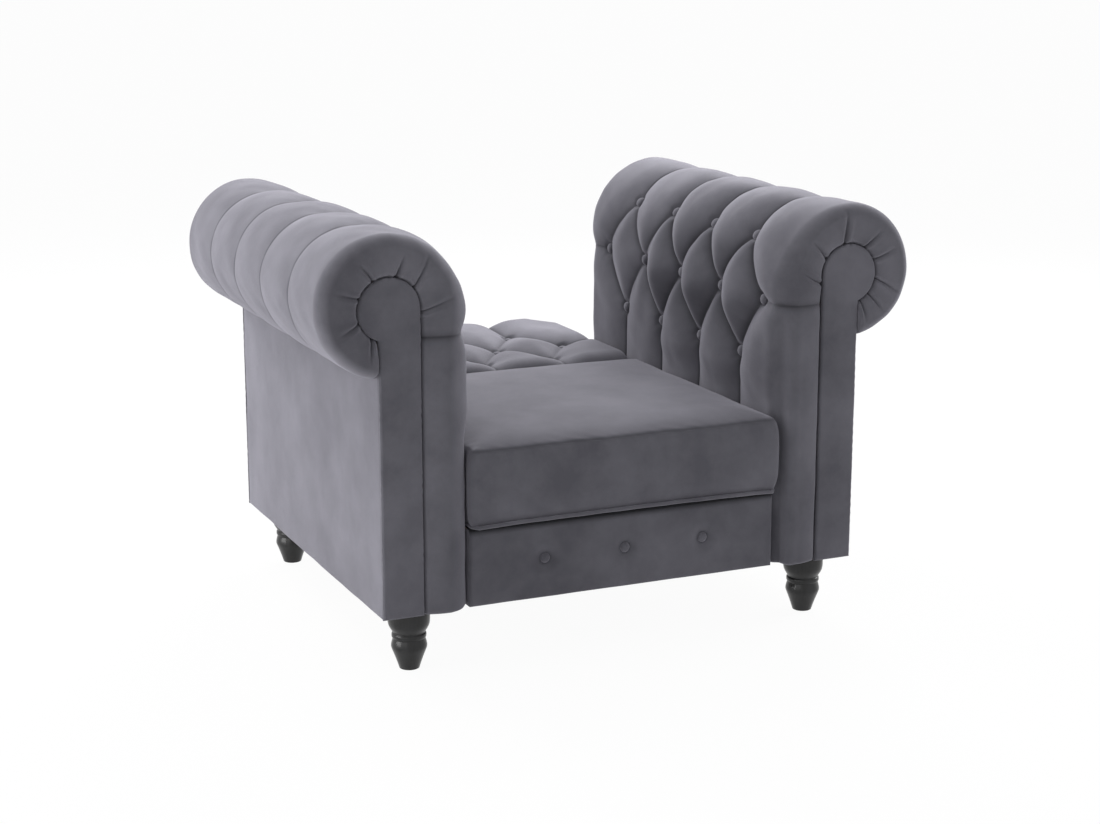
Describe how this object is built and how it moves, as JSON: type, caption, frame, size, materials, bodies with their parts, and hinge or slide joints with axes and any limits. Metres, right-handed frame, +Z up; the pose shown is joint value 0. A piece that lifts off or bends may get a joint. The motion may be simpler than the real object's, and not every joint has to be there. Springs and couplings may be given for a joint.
{
  "type": "tufted lounge chair with fold-down back",
  "caption": "Velvet lounge chair with rolled button-tufted arms, box seat cushion, turned feet and a tufted back that folds down flat behind the seat to make a short chaise.",
  "frame": {"origin": "on the floor, under the middle of the bounding box with the back folded down flat", "axes": "+X to the right of someone looking at the chair's front, -Y to the front of the seat, +Z up"},
  "size_m": [1.1874, 1.1119, 0.8094],
  "materials": {
    "velvet": "short-pile grey velvet",
    "timber": "bare sawn timber and plywood",
    "black_wood": "satin black lacquer",
    "steel": "zinc-plated",
    "dust_cloth": "black non-woven cloth"
  },
  "bodies": {
    "base": {"front_rail_cover": "velvet", "front_button_left": "velvet", "front_button_centre": "velvet", "front_button_right": "velvet", "seat_rear_board": "velvet", "seat_cushion": "velvet", "seat_piping": "velvet", "left_arm_pad": "velvet", "left_arm_front_facing": "velvet", "left_arm_rear_facing": "velvet", "left_arm_outer_panel": "velvet", "left_arm_base_rail": "velvet", "right_arm_pad": "velvet", "right_arm_front_facing": "velvet", "right_arm_rear_facing": "velvet", "right_arm_outer_panel": "velvet", "right_arm_base_rail": "velvet", "front_rail_board": "timber", "left_arm_front_board": "timber", "left_arm_rear_board": "timber", "left_arm_inner_sheet": "timber", "left_arm_stretcher": "timber", "left_arm_top_rail": "timber", "seat_side_rail_left": "timber", "right_arm_front_board": "timber", "right_arm_rear_board": "timber", "right_arm_inner_sheet": "timber", "right_arm_stretcher": "timber", "right_arm_top_rail": "timber", "seat_side_rail_right": "timber", "seat_slat_1": "timber", "seat_slat_2": "timber", "seat_slat_3": "timber", "seat_slat_4": "timber", "foot_front_left": "black_wood", "foot_rear_left": "black_wood", "foot_front_right": "black_wood", "foot_rear_right": "black_wood", "hinge_plate_left": "steel", "hinge_pin_left": "steel", "foot_bolt_front_left": "steel", "arm_bolt_front_left": "steel", "foot_bolt_rear_left": "steel", "arm_bolt_rear_left": "steel", "hinge_plate_right": "steel", "hinge_pin_right": "steel", "foot_bolt_front_right": "steel", "arm_bolt_front_right": "steel", "foot_bolt_rear_right": "steel", "arm_bolt_rear_right": "steel", "seat_dust_cover": "dust_cloth"},
    "back": {"back_pad": "velvet", "back_rear_panel": "velvet", "back_stile_left": "velvet", "back_stile_right": "velvet", "back_bottom_rail": "timber", "back_top_rail": "timber", "hinge_arm_left": "steel", "hinge_arm_right": "steel"}
  },
  "joints": [
    {"name": "back_fold", "type": "hinge", "parent": "base", "child": "back", "pos_m": [0, 0.102, 0.363], "axis": [1, 0, 0], "range_deg": [0, 80]}
  ]
}
